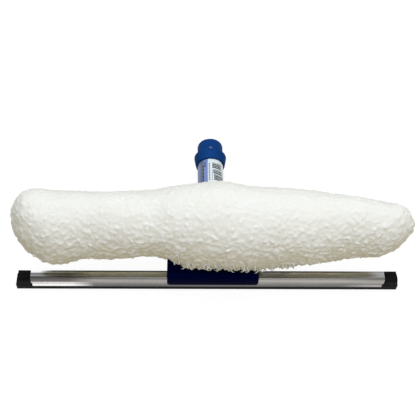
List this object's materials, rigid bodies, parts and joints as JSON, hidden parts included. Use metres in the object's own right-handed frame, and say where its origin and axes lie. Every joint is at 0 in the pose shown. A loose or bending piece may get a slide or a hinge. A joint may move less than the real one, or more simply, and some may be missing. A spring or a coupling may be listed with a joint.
{
  "type": "window squeegee washer",
  "caption": "Two-in-one window tool: a rubber-bladed squeegee channel on one side of a yoke, a fleece washer sleeve on a T-bar on the other, and a short handle with a lock ring for a pole.",
  "frame": {"origin": "on the blade's wiping edge in line with the handle, on the face that the tool lies on", "axes": "+X along the squeegee, +Y along the handle from the blade towards the handle's end, +Z from the wiping edge towards the washer sleeve"},
  "size_m": [0.3535, 0.1688, 0.107],
  "materials": {
    "channel_steel": "polished",
    "fastener_steel": "satin",
    "blade_rubber": "matte",
    "cap_rubber": "matte",
    "navy_plastic": "matte",
    "blue_plastic": "semi-gloss",
    "label_film": "satin",
    "fleece": "sherpa pile",
    "tape": "woven tape",
    "inner_plastic": "moulded"
  },
  "bodies": {
    "head": {"yoke": "navy_plastic", "jaw_plate": "navy_plastic", "jaw_screw_left": "fastener_steel", "jaw_screw_right": "fastener_steel", "jaw_nut_left": "fastener_steel", "jaw_nut_right": "fastener_steel", "stem_plate": "inner_plastic", "stem_screw_left": "fastener_steel", "stem_screw_right": "fastener_steel", "washer_bar": "inner_plastic", "bar_screw_left": "fastener_steel", "bar_screw_right": "fastener_steel", "bar_nut_left": "fastener_steel", "bar_nut_right": "fastener_steel", "washer_sleeve": "fleece", "stem_binding": "tape", "hook_strip": "tape", "loop_strip": "tape", "handle_tube": "blue_plastic", "tube_bung": "inner_plastic", "tube_screw": "fastener_steel", "grip_label": "label_film", "pole_spigot": "blue_plastic", "spigot_screw": "fastener_steel", "button_spring": "fastener_steel"},
    "blade": {"blade_channel": "channel_steel", "blade_rubber": "blade_rubber", "end_cap_left": "cap_rubber", "end_cap_right": "cap_rubber"},
    "collar": {"lock_collar": "blue_plastic"},
    "button": {"lock_button": "blue_plastic"}
  },
  "joints": [
    {"name": "blade_slide", "type": "slide", "parent": "head", "child": "blade", "axis": [1, 0, 0], "range_m": [-0.0165, 0.0235]},
    {"name": "collar_turn", "type": "hinge", "parent": "head", "child": "collar", "pos_m": [0, 0.1365, 0.0161], "axis": [0, 1, 0], "range_deg": [0, 90]},
    {"name": "button_press", "type": "slide", "parent": "head", "child": "button", "axis": [0, 0, -1], "range_m": [0, 0.0014], "stiffness_N_per_m": 500, "springref_m": -0.003, "deforming": ["button_spring"]}
  ]
}
